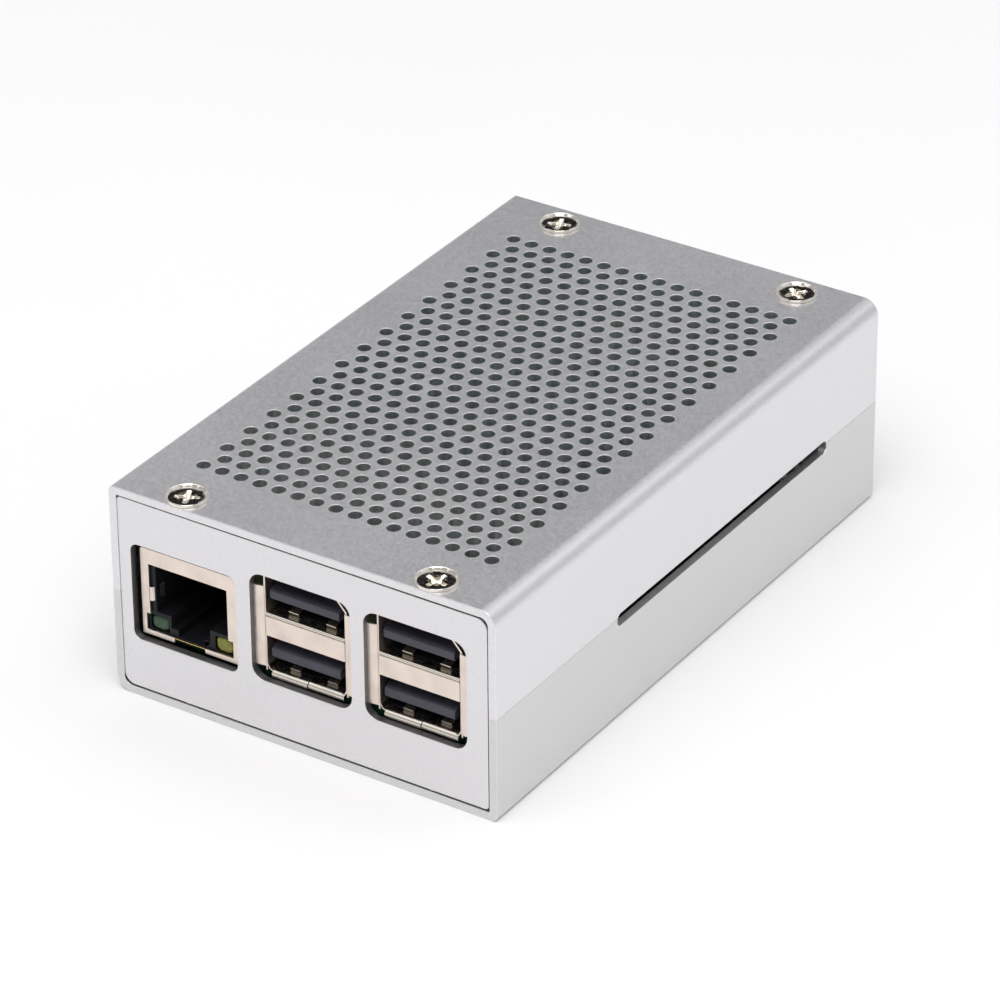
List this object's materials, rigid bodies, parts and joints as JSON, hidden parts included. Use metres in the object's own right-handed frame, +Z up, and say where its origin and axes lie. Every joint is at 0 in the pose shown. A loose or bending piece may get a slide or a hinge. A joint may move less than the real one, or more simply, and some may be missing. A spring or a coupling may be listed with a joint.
{
  "type": "single board computer",
  "caption": "Credit-card-size single board computer in a vented two-part aluminium case, with network and USB sockets at one end.",
  "frame": {"origin": "centre of the case's footprint, on the surface it stands on", "axes": "+X to the right when facing the network and USB sockets, +Y away from them along the case, +Z up"},
  "size_m": [0.0614, 0.099, 0.0326],
  "materials": {
    "anodised_case": "fine satin silver anodised sheet",
    "end_plate": "pale satin silver anodised sheet",
    "bright_screw": "bright nickel plate",
    "board_screw": "nickel plate",
    "spacer_metal": "turned steel",
    "solder_mask": "green solder mask over woven glass laminate, with printed copper",
    "chip_package": "moulded black epoxy",
    "coil_ferrite": "dark grey ferrite",
    "can_metal": "drawn bright can",
    "status_light": "clear cast resin",
    "socket_shield": "warm nickel-plated folded sheet",
    "socket_black": "moulded black nylon",
    "usb_tongue": "dark blue-grey moulded nylon",
    "light_green": "green cast light pipe",
    "light_yellow": "yellow-green cast light pipe",
    "connector_cream": "cream moulded nylon",
    "latch_black": "dark moulded nylon",
    "header_pins": "gold-plated square pins in a black strip",
    "card_black": "black moulded card"
  },
  "bodies": {
    "case": {"bottom_shell": "anodised_case", "front_plate": "end_plate", "back_plate": "end_plate", "base_screw_1": "bright_screw", "base_screw_2": "bright_screw", "base_screw_3": "bright_screw", "base_screw_4": "bright_screw", "board_screw_1": "board_screw", "board_screw_2": "board_screw", "board_screw_3": "board_screw", "board_screw_4": "board_screw", "spacer_1": "spacer_metal", "spacer_2": "spacer_metal", "spacer_3": "spacer_metal", "spacer_4": "spacer_metal", "circuit_board": "solder_mask", "processor_chip": "chip_package", "memory_chip": "chip_package", "port_hub_chip": "chip_package", "power_chip": "chip_package", "power_coil": "coil_ferrite", "crystal_can": "can_metal", "smoothing_capacitor": "can_metal", "power_light": "status_light", "activity_light": "status_light", "ethernet_shield": "socket_shield", "usb_shield_1": "socket_shield", "usb_shield_2": "socket_shield", "hdmi_shell": "socket_shield", "power_shell": "socket_shield", "card_socket": "socket_shield", "ethernet_insert": "socket_black", "hdmi_tongue": "socket_black", "power_tongue": "socket_black", "audio_jack": "socket_black", "usb_insert_1": "usb_tongue", "usb_insert_2": "usb_tongue", "ethernet_light_left": "light_green", "ethernet_light_right": "light_yellow", "camera_connector": "connector_cream", "display_connector": "connector_cream", "pin_header": "header_pins"},
    "cover": {"top_cover": "anodised_case", "cover_screw_1": "bright_screw", "cover_screw_2": "bright_screw", "cover_screw_3": "bright_screw", "cover_screw_4": "bright_screw"},
    "camera_latch": {"camera_latch": "latch_black"},
    "display_latch": {"display_latch": "latch_black"},
    "card": {"memory_card": "card_black"}
  },
  "joints": [
    {"name": "cover_lift", "type": "slide", "parent": "case", "child": "cover", "axis": [0, 0, 1], "range_m": [0, 0.06]},
    {"name": "camera_latch_lift", "type": "slide", "parent": "case", "child": "camera_latch", "axis": [0, 0, 1], "range_m": [0, 0.0012]},
    {"name": "display_latch_lift", "type": "slide", "parent": "case", "child": "display_latch", "axis": [0, 0, 1], "range_m": [0, 0.0012]},
    {"name": "card_slide", "type": "slide", "parent": "case", "child": "card", "axis": [0, 1, 0], "range_m": [0, 0.012]}
  ]
}
